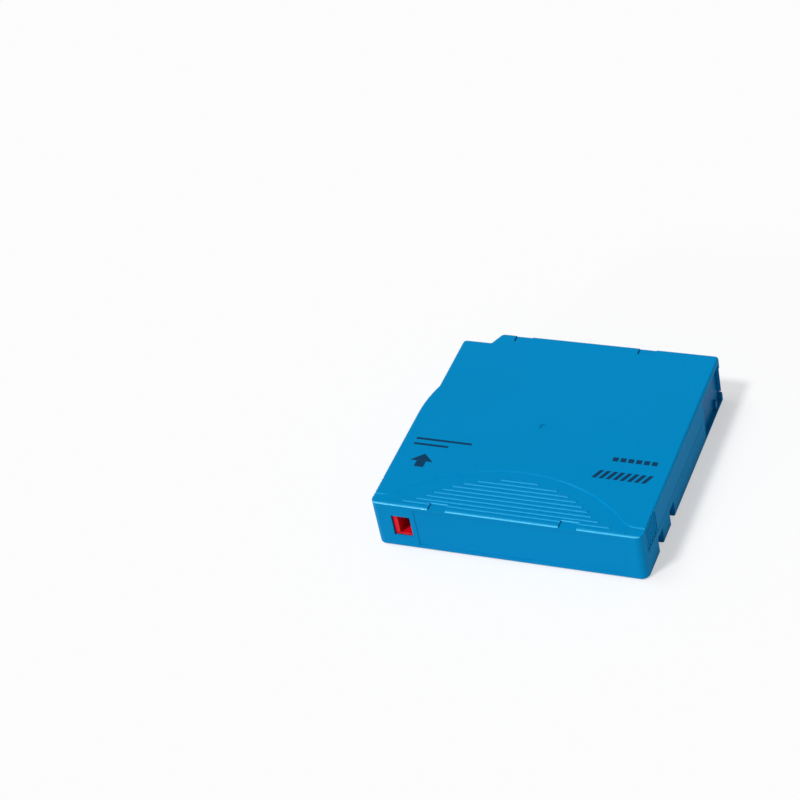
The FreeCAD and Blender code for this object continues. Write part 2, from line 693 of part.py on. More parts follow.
def side_grip():
    """The finger grip on the right side: a shallow panel less its upright ridges."""
    y0 = SIDE_GRIP_START - HALF_LENGTH
    y1 = y0 + SIDE_GRIP_LENGTH
    x0 = HALF_WIDTH - SIDE_GRIP_DEPTH
    panel = box(x0, HALF_WIDTH + OVERRUN, y0, y1, SIDE_GRIP_BOTTOM, CASE_HEIGHT + OVERRUN)
    half = SIDE_RIDGE_WIDTH / 2
    radius = (half * half + SIDE_GRIP_DEPTH ** 2) / (2 * SIDE_GRIP_DEPTH)
    pitch = SIDE_GRIP_LENGTH / SIDE_RIDGE_COUNT
    for i in range(SIDE_RIDGE_COUNT):
        y = y0 + pitch * (i + 0.5)
        ridge = cylinder(radius, SIDE_GRIP_BOTTOM, CASE_HEIGHT + OVERRUN, HALF_WIDTH - radius, y)
        panel = panel.cut(ridge)
    return panel


def brake_guide():
    """The boss under the top plate with the crossed slot that the brake's post slides in."""
    boss = cylinder(GUIDE_RADIUS, GUIDE_BOTTOM, CEILING)
    return boss.cut(post_cross(GUIDE_CLEARANCE, GUIDE_BOTTOM, CEILING))


def post_cross(clearance, z0, z1):
    """The brake post's crossed section, grown by a clearance."""
    reach = BRAKE_POST_SPAN / 2 + clearance
    half = BRAKE_POST_WIDTH / 2 + clearance
    return box(-reach, reach, -half, half, z0, z1).fuse(box(-half, half, -reach, reach, z0, z1))


def top_shell():
    shell = prism(case_plan(0), PARTING_HEIGHT, CASE_HEIGHT)
    shell = shell.makeFillet(TOP_EDGE_RADIUS, edges_at(shell, CASE_HEIGHT))
    shell = shell.cut(prism(case_plan(WALL), PARTING_HEIGHT, CEILING))
    rib_bottom = CEILING - SEAT_RIB_HEIGHT
    inside = [brake_guide()]
    inside += reel_walls(CEILING - REEL_WALL_HEIGHT, CEILING)
    inside += pin_seat(rib_bottom, CEILING)
    inside += door_guides(CEILING - DOOR_GUIDE_HEIGHT, CEILING)
    inside += slider_rails(CEILING, SLIDER_TOP + SLIDER_CLEARANCE, SLIDER_TOP - RAIL_LIP)
    for x, y in SCREW_PLACES:
        inside.append(cylinder(BOSS_RADIUS, BOSS_TOP, CEILING, x, y))
    inside = [piece.common(prism(case_plan(WALL / 2), 0, CASE_HEIGHT)) for piece in inside]
    shell = shell.multiFuse(inside)
    cuts = [tape_opening(), slider_window(), label_panel(), grip_arch(), side_grip(),
            mirrored(side_grip()), parting_groove(PARTING_HEIGHT, PARTING_HEIGHT + PARTING_GROOVE / 2),
            lip(PARTING_HEIGHT - OVERRUN, PARTING_HEIGHT + LIP_HEIGHT + LIP_CLEARANCE, LIP_CLEARANCE),
            cylinder(GATE_RADIUS, CASE_HEIGHT - GATE_DEPTH, CASE_HEIGHT + OVERRUN, GATE_X)]
    for x, y in SCREW_PLACES:
        pilot = SCREW_SHAFT_RADIUS + SCREW_PILOT_CLEARANCE
        cuts.append(cylinder(pilot, BOSS_TOP, SCREW_SEAT + SCREW_LENGTH + OVERRUN, x, y))
    shell = shell.cut(cuts)
    shell = shell.multiFuse(grip_ridges())
    return shell.cut(edge_recesses()).removeSplitter()


def notch(y, grow):
    """A gripper notch on the right side, grown by a wall."""
    half = NOTCH_WIDTH / 2 + grow
    inner = HALF_WIDTH - NOTCH_DEPTH - grow
    return box(inner, HALF_WIDTH + OVERRUN, y - half, y + half, -OVERRUN, NOTCH_HEIGHT + grow)


def locating_slot(radius, z0, z1):
    """The locating slot's section, grown to a radius."""
    half = LOCATING_SLOT / 2
    middle = box(LOCATING_X - half, LOCATING_X + half, LOCATING_Y - radius, LOCATING_Y + radius, z0, z1)
    ends = [cylinder(radius, z0, z1, LOCATING_X + side * half, LOCATING_Y) for side in (-1, 1)]
    return middle.multiFuse(ends)


def memory_ribs():
    """Two ribs with a sloping top that carry the memory board."""
    rise = BOARD_WIDTH * math.sin(math.radians(BOARD_TILT))
    run = BOARD_WIDTH * math.cos(math.radians(BOARD_TILT))
    ribs = []
    for x in (BOARD_LEFT + BOARD_RIB_WIDTH, BOARD_LEFT + BOARD_LENGTH - 2 * BOARD_RIB_WIDTH):
        corners = [Vector(x, BOARD_BACK, PLATE), Vector(x, BOARD_BACK, BOARD_BOTTOM),
                   Vector(x, BOARD_BACK - run, BOARD_BOTTOM + rise), Vector(x, BOARD_BACK - run, PLATE)]
        face = Part.Face(Part.makePolygon(corners + corners[:1]))
        ribs.append(face.extrude(Vector(BOARD_RIB_WIDTH, 0, 0)))
    return ribs


def spring_post():
    """The post that the door's spring pushes against, with its peg."""
    x0 = SPRING_AXIS_X - SPRING_POST_WIDTH / 2
    post = box(x0, DOOR_OUTER_X, SPRING_POST_Y - SPRING_POST_WIDTH, SPRING_POST_Y, PLATE / 2,
               SPRING_AXIS_HEIGHT + SPRING_POST_WIDTH)
    peg = Part.makeCylinder(SPRING_PEG_RADIUS, SPRING_PEG_LENGTH,
                            Vector(SPRING_AXIS_X, SPRING_POST_Y, SPRING_AXIS_HEIGHT), Vector(0, 1, 0))
    return post.fuse(peg)


def bottom_shell():
    shell = prism(case_plan(0), 0, PARTING_HEIGHT)
    shell = shell.makeFillet(BOTTOM_EDGE_RADIUS, edges_at(shell, 0))
    shell = shell.cut(prism(case_plan(WALL), PLATE, PARTING_HEIGHT))
    seat_top = REEL_REST - REEL_SEAT_GAP
    inside = [tube(SEAT_RING_INNER, SEAT_RING_INNER + SEAT_RING_WIDTH, PLATE, seat_top),
              cylinder(LOCATING_RADIUS + LOCATING_WALL, 0, LOCATING_DEPTH + LOCATING_WALL,
                       -LOCATING_X, LOCATING_Y),
              locating_slot(LOCATING_RADIUS + LOCATING_WALL, 0, LOCATING_DEPTH + LOCATING_WALL)]
    inside += reel_walls(PLATE, PLATE + REEL_WALL_HEIGHT)
    inside += pin_seat(PLATE, PLATE + SEAT_RIB_HEIGHT)
    inside += door_guides(PLATE, PLATE + DOOR_GUIDE_HEIGHT)
    inside += slider_rails(PLATE, SLIDER_BOTTOM - SLIDER_CLEARANCE, SLIDER_BOTTOM + RAIL_LIP)
    inside += slider_stops()
    inside += memory_ribs()
    for x, y in SCREW_PLACES:
        inside.append(cylinder(BOSS_RADIUS, PLATE, BOSS_TOP, x, y))
    for y in NOTCH_Y:
        wall = notch(y, NOTCH_WALL)
        inside += [wall, mirrored(wall)]
    room = prism(case_plan(WALL / 2), WALL / 2, CASE_HEIGHT)
    shell = shell.multiFuse([piece.common(room) for piece in inside] + [spring_post()])
    shell = shell.fuse(lip(PARTING_HEIGHT, PARTING_HEIGHT + LIP_HEIGHT, 0))
    cuts = [tape_opening(), slider_window(), label_panel(),
            parting_groove(PARTING_HEIGHT - PARTING_GROOVE / 2, PARTING_HEIGHT),
            cylinder(SPINDLE_OPENING_RADIUS, -OVERRUN, PLATE + OVERRUN),
            cylinder(LOCATING_RADIUS, -OVERRUN, LOCATING_DEPTH, -LOCATING_X, LOCATING_Y),
            locating_slot(LOCATING_RADIUS, -OVERRUN, LOCATING_DEPTH)]
    for y in NOTCH_Y:
        cuts += [notch(y, 0), mirrored(notch(y, 0))]
    for x, y in SCREW_PLACES:
        head = SCREW_HEAD_RADIUS + SCREW_HOLE_CLEARANCE
        shaft = SCREW_SHAFT_RADIUS + SCREW_HOLE_CLEARANCE
        cuts.append(cylinder(head, -OVERRUN, SCREW_SEAT, x, y))
        cuts.append(cylinder(shaft, 0, BOSS_TOP + OVERRUN, x, y))
    return shell.cut(cuts).removeSplitter()


def case_screws():
    """Four self-tapping screws with crossed recesses, driven from below."""
    half = SCREW_RECESS_WIDTH / 2
    span = SCREW_RECESS_SPAN / 2
    shaft_end = SCREW_SEAT + SCREW_LENGTH - SCREW_SHAFT_RADIUS
    screws = []
    for x, y in SCREW_PLACES:
        head = cylinder(SCREW_HEAD_RADIUS, SCREW_HEAD_SETBACK, SCREW_SEAT, x, y)
        tip = Part.makeCone(SCREW_SHAFT_RADIUS, SCREW_SHAFT_RADIUS / 3, SCREW_SHAFT_RADIUS,
                            Vector(x, y, shaft_end))
        shaft = cylinder(SCREW_SHAFT_RADIUS, SCREW_SEAT, shaft_end, x, y)
        screw = head.multiFuse([shaft, tip])
        floor = SCREW_HEAD_SETBACK + SCREW_RECESS_DEPTH
        recess = [box(x - span, x + span, y - half, y + half, 0, floor),
                  box(x - half, x + half, y - span, y + span, 0, floor)]
        screws.append(screw.cut(recess).removeSplitter())
    return Part.makeCompound(screws)


# ---------------------------------------------------------------- reel
def leg_window(grow, z0, z1):
    """One window of the release pad's legs, along +X."""
    half = PAD_ARM_WIDTH / 2 + grow
    return box(PAD_LEG_INNER - grow, PAD_LEG_OUTER + grow, -half, half, z0, z1)


def reel_hub():
    """Hub and lower flange in one piece, with the drive ring below and the brake ring inside."""
    root = DRIVE_TIP_HEIGHT + DRIVE_TOOTH_HEIGHT
    bore = HUB_RADIUS - HUB_WALL
    hub = turned([
        (HUB_HOLE_RADIUS, WEB_BOTTOM), (DRIVE_RING_INNER, WEB_BOTTOM), (DRIVE_RING_INNER, root),
        (DRIVE_RING_OUTER, root), (DRIVE_RING_OUTER, REEL_REST), (REEL_RADIUS, REEL_REST),
        (REEL_RADIUS, LOWER_FLANGE_TOP), (HUB_RADIUS, LOWER_FLANGE_TOP),
        (HUB_RADIUS, UPPER_FLANGE_BOTTOM), (bore, UPPER_FLANGE_BOTTOM), (bore, WEB_TOP),
        (HUB_HOLE_RADIUS, WEB_TOP),
    ])
    stand = tube(BRAKE_RING_INNER, BRAKE_RING_OUTER, WEB_TOP, BRAKE_ROOT)
    drive_tooth = face_tooth(DRIVE_TEETH, DRIVE_RING_INNER, DRIVE_RING_OUTER, DRIVE_TOOTH_HEIGHT,
                             BRAKE_TOOTH_TIP, root, False)
    brake_tooth = face_tooth(BRAKE_TEETH, BRAKE_RING_INNER, BRAKE_RING_OUTER, BRAKE_TOOTH_HEIGHT,
                             BRAKE_TOOTH_TIP, BRAKE_ROOT, True)
    rib = box(bore - HUB_RIB_DEPTH, bore + HUB_WALL / 2, -HUB_RIB_WIDTH / 2, HUB_RIB_WIDTH / 2,
              WEB_TOP, UPPER_FLANGE_BOTTOM - 2 * SPIGOT_DEPTH)
    pieces = [stand] + turned_copies(drive_tooth, DRIVE_TEETH) + turned_copies(brake_tooth, BRAKE_TEETH)
    hub = hub.multiFuse(pieces + turned_copies(rib, HUB_RIB_COUNT))
    window = leg_window(PAD_LEG_CLEARANCE, 0, WEB_TOP + OVERRUN)
    half = PAD_ARM_WIDTH / 2 + 2 * PAD_LEG_CLEARANCE
    arm_gap = box(BRAKE_RING_INNER - OVERRUN, BRAKE_RING_OUTER + OVERRUN / 2, -half, half,
                  WEB_TOP, BRAKE_DISC_BOTTOM)
    cuts = turned_copies(window, PAD_LEG_COUNT) + turned_copies(arm_gap, PAD_LEG_COUNT)
    return hub.cut(cuts).removeSplitter()


def reel_upper_flange():
    """The flange welded on top of the hub, with the spigot that centres it."""
    outer = HUB_RADIUS - HUB_WALL - SPIGOT_CLEARANCE
    inner = outer - SPIGOT_WALL
    return turned([
        (inner, UPPER_FLANGE_BOTTOM - SPIGOT_DEPTH), (outer, UPPER_FLANGE_BOTTOM - SPIGOT_DEPTH),
        (outer, UPPER_FLANGE_BOTTOM), (REEL_RADIUS, UPPER_FLANGE_BOTTOM),
        (REEL_RADIUS, UPPER_FLANGE_BOTTOM + FLANGE_THICKNESS),
        (inner, UPPER_FLANGE_BOTTOM + FLANGE_THICKNESS),
    ])


def reel_drive_plate():
    """The steel ring that the drive's magnet holds."""
    return tube(DRIVE_PLATE_INNER, DRIVE_PLATE_OUTER, WEB_BOTTOM - DRIVE_PLATE_THICKNESS, WEB_BOTTOM)


def tape_pack():
    """The wound turns of tape."""
    return tube(HUB_RADIUS + WIND_CLEARANCE, TAPE_RADIUS, TAPE_BOTTOM, TAPE_TOP)


# ---------------------------------------------------------------- brake
def brake_button():
    """The toothed disc that locks the hub, with its crossed post and its round nose."""
    disc = cylinder(BRAKE_DISC_RADIUS, BRAKE_DISC_BOTTOM, BRAKE_DISC_TOP)
    post = post_cross(0, BRAKE_DISC_TOP, BRAKE_DISC_TOP + BRAKE_POST_HEIGHT)
    nose_end = PAD_TOP + PAD_TOP_GAP
    drop = BRAKE_DISC_BOTTOM - nose_end
    ball = (BRAKE_NOSE_RADIUS ** 2 + drop ** 2) / (2 * drop)
    nose = Part.makeSphere(ball, Vector(0, 0, nose_end + ball))
    nose = nose.common(cylinder(BRAKE_NOSE_RADIUS, nose_end - OVERRUN, BRAKE_DISC_BOTTOM))
    tooth = face_tooth(BRAKE_TEETH, BRAKE_RING_INNER, BRAKE_RING_OUTER, BRAKE_TOOTH_HEIGHT,
                       BRAKE_TOOTH_TIP, BRAKE_DISC_BOTTOM, False)
    tooth.rotate(Vector(0, 0, 0), Vector(0, 0, 1), 180.0 / BRAKE_TEETH)
    return disc.multiFuse([post, nose] + turned_copies(tooth, BRAKE_TEETH)).removeSplitter()


def brake_spring():
    """The spring between the brake and the top shell."""
    length = CEILING - BRAKE_DISC_TOP - BRAKE_SPRING_WIRE
    spring = coil(BRAKE_SPRING_RADIUS, BRAKE_SPRING_WIRE, BRAKE_SPRING_TURNS, length)
    spring.translate(Vector(0, 0, BRAKE_DISC_TOP + BRAKE_SPRING_WIRE / 2))
    return spring


def brake_release_pad():
    """The spider that a drive pushes up through the hub to lift the brake."""
    pad = cylinder(PAD_HUB_RADIUS, PAD_BOTTOM, PAD_TOP)
    half = PAD_ARM_WIDTH / 2
    arm = box(0, PAD_LEG_OUTER, -half, half, PAD_BOTTOM, PAD_TOP)
    leg = leg_window(0, DRIVE_TIP_HEIGHT + PAD_LEG_SETBACK, PAD_TOP)
    return pad.multiFuse(turned_copies(arm.fuse(leg), PAD_LEG_COUNT)).removeSplitter()


# ---------------------------------------------------------------- door
def door():
    """The sliding door, with the tab that a drive pushes and the peg for its spring."""
    panel = box(DOOR_INNER_X, DOOR_OUTER_X, DOOR_TAIL_END, DOOR_END, DOOR_BOTTOM, DOOR_TOP)
    tab_y = DOOR_END - DOOR_TAB_SETBACK
    tab = box(DOOR_OUTER_X, DOOR_OUTER_X + DOOR_TAB_REACH, tab_y - DOOR_TAB_WIDTH, tab_y,
              DOOR_BOTTOM, DOOR_SLOT_TOP - DOOR_EDGE_CLEARANCE)
    peg = Part.makeCylinder(SPRING_PEG_RADIUS, SPRING_PEG_LENGTH,
                            Vector(SPRING_AXIS_X, DOOR_TAIL_END, SPRING_AXIS_HEIGHT), Vector(0, -1, 0))
    reach = SPRING_POST_WIDTH
    foot = box(SPRING_AXIS_X - reach / 2, DOOR_OUTER_X, DOOR_TAIL_END, DOOR_TAIL_END + DOOR_FOOT_LENGTH,
               SPRING_AXIS_HEIGHT - reach, SPRING_AXIS_HEIGHT + reach)
    return panel.multiFuse([tab, foot, peg]).removeSplitter()


def door_spring():
    """The spring that closes the door, between its tail and the post."""
    length = DOOR_SPRING_LENGTH - DOOR_SPRING_WIRE
    spring = coil(DOOR_SPRING_RADIUS, DOOR_SPRING_WIRE, DOOR_SPRING_TURNS, length)
    spring.rotate(Vector(0, 0, 0), Vector(1, 0, 0), -90)
    spring.translate(Vector(SPRING_AXIS_X, SPRING_POST_Y + DOOR_SPRING_WIRE / 2, SPRING_AXIS_HEIGHT))
    return spring


# ---------------------------------------------------------------- write-protect slider
def write_protect_slider():
    """The slider: a nub for a fingertip, an open pocket beside it and a plain face."""
    body = box(SLIDER_LEFT, SLIDER_RIGHT, SLIDER_FRONT, SLIDER_BACK, SLIDER_BOTTOM, SLIDER_TOP)
    pocket_right = WINDOW_LEFT + WINDOW_WIDTH + SLIDER_WALL
    pocket = box(SLIDER_LEFT + SLIDER_NUB_WIDTH, pocket_right, SLIDER_FRONT - OVERRUN, SLIDER_BACK + OVERRUN,
                 SLIDER_BOTTOM + 2 * SLIDER_WALL, SLIDER_TOP - 2 * SLIDER_WALL)
    hollow = box(pocket_right + SLIDER_WALL, SLIDER_RIGHT - SLIDER_WALL, SLIDER_FRONT + SLIDER_WALL,
                 SLIDER_BACK + OVERRUN, SLIDER_BOTTOM + SLIDER_WALL, SLIDER_TOP - SLIDER_WALL)
    return body.cut([pocket, hollow])


# ---------------------------------------------------------------- leader pin
def leader_pin():
    """The pin on the tape's free end, with end discs and collars."""
    length = PIN_TOP - PIN_BOTTOM
    heights = [0, PIN_END_THICKNESS, PIN_END_THICKNESS + PIN_NECK_LENGTH]
    heights.append(heights[-1] + PIN_COLLAR_THICKNESS)
    low = [(PIN_END_RADIUS, heights[0]), (PIN_END_RADIUS, heights[1]), (PIN_SHAFT_RADIUS, heights[1]),
           (PIN_SHAFT_RADIUS, heights[2]), (PIN_COLLAR_RADIUS, heights[2]),
           (PIN_COLLAR_RADIUS, heights[3]), (PIN_SHAFT_RADIUS, heights[3])]
    high = [(r, length - z) for r, z in reversed(low)]
    pin = turned([(0, 0)] + low + high + [(0, length)])
    pin.translate(Vector(PIN_X, PIN_Y, PIN_BOTTOM))
    return pin


def clip_span():
    """The lowest and highest point between the pin's collars."""
    inset = PIN_END_THICKNESS + PIN_NECK_LENGTH + PIN_COLLAR_THICKNESS + CLIP_CLEARANCE
    return PIN_BOTTOM + inset, PIN_TOP - inset


def leader_pin_clip():
    """The open sleeve that clamps the tape's end on the pin."""
    inner = PIN_SHAFT_RADIUS + CLIP_CLEARANCE
    low, high = clip_span()
    return arc_wall(inner, inner + CLIP_THICKNESS, CLIP_GAP_END_ANGLE, CLIP_GAP_START_ANGLE + FULL_TURN,
                    low, high, PIN_X, PIN_Y)


def tape_leader():
    """The tape's free end, from the wound turns to the pin."""
    low, high = clip_span()
    start = (TAPE_RADIUS + LEADER_GAP + LEADER_THICKNESS / 2, 0)
    reach = PIN_SHAFT_RADIUS + LEADER_THICKNESS / 2 + CLIP_CLEARANCE
    turn = math.radians(CLIP_GAP_START_ANGLE + LEADER_TURN_ANGLE)
    end = (PIN_X + reach * math.cos(turn), PIN_Y + reach * math.sin(turn))
    bottom = max(TAPE_BOTTOM, low + CLIP_CLEARANCE)
    return prism(ribbon([start, end], LEADER_THICKNESS), bottom, min(TAPE_TOP, high - CLIP_CLEARANCE))


def leader_pin_spring():
    """The bent leaf spring whose two arms hold the pin's ends in their seats."""
    half = PIN_SPRING_THICKNESS / 2
    arm_y = PIN_Y + PIN_END_RADIUS + PIN_SPRING_GAP + half
    base_x = PIN_SPRING_BASE_X + half
    tip_x = PIN_X + PIN_SPRING_TIP
    hook = PIN_SPRING_HOOK
    path = [(base_x, INNER_Y - SEAT_RIB_GAP), (base_x, arm_y), (tip_x, arm_y), (tip_x + hook, arm_y - hook)]
    z0 = PLATE + PIN_SPRING_GAP
    z1 = CEILING - PIN_SPRING_GAP
    strip = prism(ribbon(path, PIN_SPRING_THICKNESS), z0, z1)
    arm = PIN_SPRING_ARM_HEIGHT
    gap = box(base_x + OVERRUN, HALF_WIDTH, PIN_Y, INNER_Y, z0 + arm, z1 - arm)
    return strip.cut(gap)


# ---------------------------------------------------------------- cartridge memory
def tilted(shape):
    """A shape drawn flat, tipped onto the memory ribs."""
    shape.rotate(Vector(0, 0, 0), Vector(1, 0, 0), -BOARD_TILT)
    shape.translate(Vector(0, BOARD_BACK, BOARD_BOTTOM))
    return shape


def memory_board():
    board = box(BOARD_LEFT, BOARD_LEFT + BOARD_LENGTH, -BOARD_WIDTH, 0, 0, BOARD_THICKNESS)
    return tilted(board)


def memory_chip():
    x = BOARD_LEFT + BOARD_LENGTH / 2
    y = -BOARD_WIDTH / 2
    chip = box(x - CHIP_LENGTH / 2, x + CHIP_LENGTH / 2, y - CHIP_WIDTH / 2, y + CHIP_WIDTH / 2,
               BOARD_THICKNESS, BOARD_THICKNESS + CHIP_HEIGHT)
    return tilted(chip)


PARTS = [top_shell, bottom_shell, case_screws, reel_hub, reel_upper_flange, reel_drive_plate,
         tape_pack, tape_leader, leader_pin, leader_pin_clip, leader_pin_spring, brake_button,
         brake_spring, brake_release_pad, door, door_spring, write_protect_slider, memory_board,
         memory_chip]


def main():
    os.makedirs("parts", exist_ok=True)
    for make in PARTS:
        shape = make()
        shape.exportStep(f"parts/{make.__name__}.step")
        print(make.__name__, len(shape.Solids), "solid", shape.isValid(), round(shape.Volume, 2))


main()
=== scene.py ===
"""A single-reel data tape cartridge, dressed: finishes, print, springs and studio, in metres.

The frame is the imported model's: +X right and +Y away for someone who looks at the label
side, +Z up, origin on the reel's axis in the plane that the cartridge rests on.
"""

import math

import bmesh
import bpy
from mathutils import Matrix, Vector


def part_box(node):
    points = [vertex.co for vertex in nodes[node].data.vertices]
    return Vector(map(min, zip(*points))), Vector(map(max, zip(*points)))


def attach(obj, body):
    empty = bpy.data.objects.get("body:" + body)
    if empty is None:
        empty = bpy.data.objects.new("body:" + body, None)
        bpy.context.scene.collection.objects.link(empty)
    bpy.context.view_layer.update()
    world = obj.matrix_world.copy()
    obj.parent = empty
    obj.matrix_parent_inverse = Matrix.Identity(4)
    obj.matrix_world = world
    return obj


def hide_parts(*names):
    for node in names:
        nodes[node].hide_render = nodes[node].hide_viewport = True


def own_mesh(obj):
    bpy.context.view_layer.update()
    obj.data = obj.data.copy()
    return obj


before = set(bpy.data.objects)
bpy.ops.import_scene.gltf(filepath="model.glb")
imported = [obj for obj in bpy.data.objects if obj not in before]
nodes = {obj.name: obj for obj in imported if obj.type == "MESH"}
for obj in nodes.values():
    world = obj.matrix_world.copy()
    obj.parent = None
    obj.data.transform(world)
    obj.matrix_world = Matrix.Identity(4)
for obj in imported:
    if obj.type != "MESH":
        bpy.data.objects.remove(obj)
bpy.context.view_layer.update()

MM = 0.001

CASE_LOW, CASE_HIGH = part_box("top_shell")
LEFT, FRONT = CASE_LOW.x, CASE_LOW.y
RIGHT, TOP = CASE_HIGH.x, CASE_HIGH.z

# ---------------------------------------------------------------- camera
CAMERA_PLACE = Vector((0.29127, -0.62397, 0.60489))
CAMERA_TARGET = Vector((-0.06882, 0.01717, 0.01075))
CAMERA_ROLL = math.radians(-12.757)
CAMERA_LENS = 107.94
SENSOR_WIDTH = 36.0
CLIP_RANGE = (0.01, 20.0)


def make_camera():
    data = bpy.data.cameras.new("camera")
    data.lens = CAMERA_LENS
    data.sensor_width = SENSOR_WIDTH
    data.clip_start, data.clip_end = CLIP_RANGE
    camera = bpy.data.objects.new("camera", data)
    bpy.context.scene.collection.objects.link(camera)
    look = (CAMERA_TARGET - CAMERA_PLACE).to_track_quat("-Z", "Y")
    turn = look.to_matrix().to_4x4() @ Matrix.Rotation(CAMERA_ROLL, 4, "Z")
    camera.matrix_world = Matrix.Translation(CAMERA_PLACE) @ turn
    bpy.context.scene.camera = camera


# ---------------------------------------------------------------- shader helpers
def linear(red, green, blue):
    """A colour given in screen values from 0 to 255, as the shaders want it."""
    values = []
    for value in (red, green, blue):
        share = value / 255
        values.append(share / 12.92 if share <= 0.04045 else ((share + 0.055) / 1.055) ** 2.4)
    return tuple(values)


BEVEL_SAMPLES = 6
EDGE_TURN = (0.05, 0.35)
STEEP_TO_LEVEL = (0.6, 0.99)
SIDEWAYS_LEAN = (-0.18, 0.1)


class Shader:
    """A node material under construction, in object coordinates in metres."""

    def __init__(self, name):
        self.material = bpy.data.materials.new(name)
        self.material.use_nodes = True
        self.tree = self.material.node_tree
        self.tree.nodes.clear()
        self.output = self.node("ShaderNodeOutputMaterial")
        self.surface = self.node("ShaderNodeBsdfPrincipled")
        self.link(self.surface.outputs[0], self.output.inputs["Surface"])
        self.place = self.node("ShaderNodeTexCoord").outputs["Object"]
        axes = self.node("ShaderNodeSeparateXYZ")
        self.link(self.place, axes.inputs[0])
        self.x, self.y, self.z = axes.outputs
        self.normal = None

    def node(self, kind, **values):
        made = self.tree.nodes.new(kind)
        for key, value in values.items():
            setattr(made, key, value)
        return made

    def link(self, source, target):
        self.tree.links.new(source, target)

    def feed(self, socket, value):
        """Sets a socket from a number, a colour or another socket."""
        if isinstance(value, bpy.types.NodeSocket):
            self.link(value, socket)
        elif isinstance(value, tuple) and len(value) < len(socket.default_value):
            socket.default_value = (*value, 1.0)
        else:
            socket.default_value = value

    def set(self, **values):
        """Sets the surface's own sockets, such as Base_Color or Roughness."""
        for key, value in values.items():
            self.feed(self.surface.inputs[key.replace("_", " ")], value)

    def math(self, operation, *values):
        made = self.node("ShaderNodeMath", operation=operation)
        for socket, value in zip(made.inputs, values):
            self.feed(socket, value)
        return made.outputs[0]

    def noise(self, size, detail=2.0, roughness=0.5, stretch=(1, 1, 1), over=None):
        """Noise with features of the given size, longer along axes that are stretched."""
        moved = self.node("ShaderNodeMapping")
        moved.inputs["Scale"].default_value = [1 / share for share in stretch]
        self.link(over or self.place, moved.inputs["Vector"])
        made = self.node("ShaderNodeTexNoise")
        made.inputs["Scale"].default_value = 1 / size
        made.inputs["Detail"].default_value = detail
        made.inputs["Roughness"].default_value = roughness
        self.link(moved.outputs[0], made.inputs["Vector"])
        return made.outputs["Fac"]

    def span(self, value, low, high, to_low=0.0, to_high=1.0):
        """The value moved from one range to another, and held at that range's ends."""
        made = self.node("ShaderNodeMapRange")
        for socket, number in zip(made.inputs[1:5], (low, high, to_low, to_high)):
            socket.default_value = number
        self.link(value, made.inputs["Value"])
        return made.outputs["Result"]

    def mix(self, share, a, b):
        """A colour between a and b. Each is a colour or a socket."""
        made = self.node("ShaderNodeMix", data_type="RGBA")
        for socket, value in zip((made.inputs[0], made.inputs[6], made.inputs[7]), (share, a, b)):
            self.feed(socket, value)
        return made.outputs[2]

    def both(self, *masks):
        """1 where every mask is 1."""
        product = masks[0]
        for mask in masks[1:]:
            product = self.math("MULTIPLY", product, mask)
        return product

    def either(self, *masks):
        """1 where any mask is 1."""
        most = masks[0]
        for mask in masks[1:]:
            most = self.math("MAXIMUM", most, mask)
        return most

    def between(self, value, low, high, soft=0.03 * MM):
        """1 where the value lies between two limits, with soft ends."""
        rise = self.span(value, low - soft, low + soft)
        fall = self.span(value, high - soft, high + soft, 1.0, 0.0)
        return self.both(rise, fall)

    def rings(self, size):
        """Noise that only changes with the distance from the reel's axis."""
        squares = [self.math("POWER", value, 2.0) for value in (self.x, self.y)]
        across = self.node("ShaderNodeCombineXYZ")
        self.link(self.math("SQRT", self.math("ADD", *squares)), across.inputs[0])
        return self.noise(size, detail=3.0, over=across.outputs[0])

    def bump(self, height, distance):
        """Relief, laid over the relief that is already there."""
        made = self.node("ShaderNodeBump")
        made.inputs["Distance"].default_value = distance
        self.link(height, made.inputs["Height"])
        if self.normal is not None:
            self.link(self.normal, made.inputs["Normal"])
        self.normal = made.outputs[0]
        self.link(self.normal, self.surface.inputs["Normal"])

    def soften(self, radius):
        """Rounds the look of sharp edges."""
        bevel = self.node("ShaderNodeBevel", samples=BEVEL_SAMPLES)
        bevel.inputs["Radius"].default_value = radius
        self.normal = bevel.outputs[0]
        self.link(self.normal, self.surface.inputs["Normal"])

    def flanks(self):
        """How steep the surface is, from 0 on level ground, where it leans to neither side."""
        shape = self.node("ShaderNodeNewGeometry")
        axes = self.node("ShaderNodeSeparateXYZ")
        self.link(shape.outputs["True Normal"], axes.inputs[0])
        leaning = self.span(axes.outputs["Z"], *STEEP_TO_LEVEL, 1.0, 0.0)
        return self.both(leaning, self.between(axes.outputs["X"], *SIDEWAYS_LEAN, 0.06))

    def edges(self, radius):
        """1 on sharp edges, 0 on flat ground."""
        bevel = self.node("ShaderNodeBevel", samples=BEVEL_SAMPLES)
        bevel.inputs["Radius"].default_value = radius
        flat = self.node("ShaderNodeNewGeometry")
        turn = self.node("ShaderNodeVectorMath", operation="DISTANCE")
        self.link(bevel.outputs[0], turn.inputs[0])
        self.link(flat.outputs["Normal"], turn.inputs[1])
        return self.span(turn.outputs["Value"], *EDGE_TURN)


def shaded(colour, share):
    """The colour made lighter by a share of itself, or darker by a negative share."""
    return tuple(min(max(c * (1 + share), 0.0), 1.0) for c in colour)


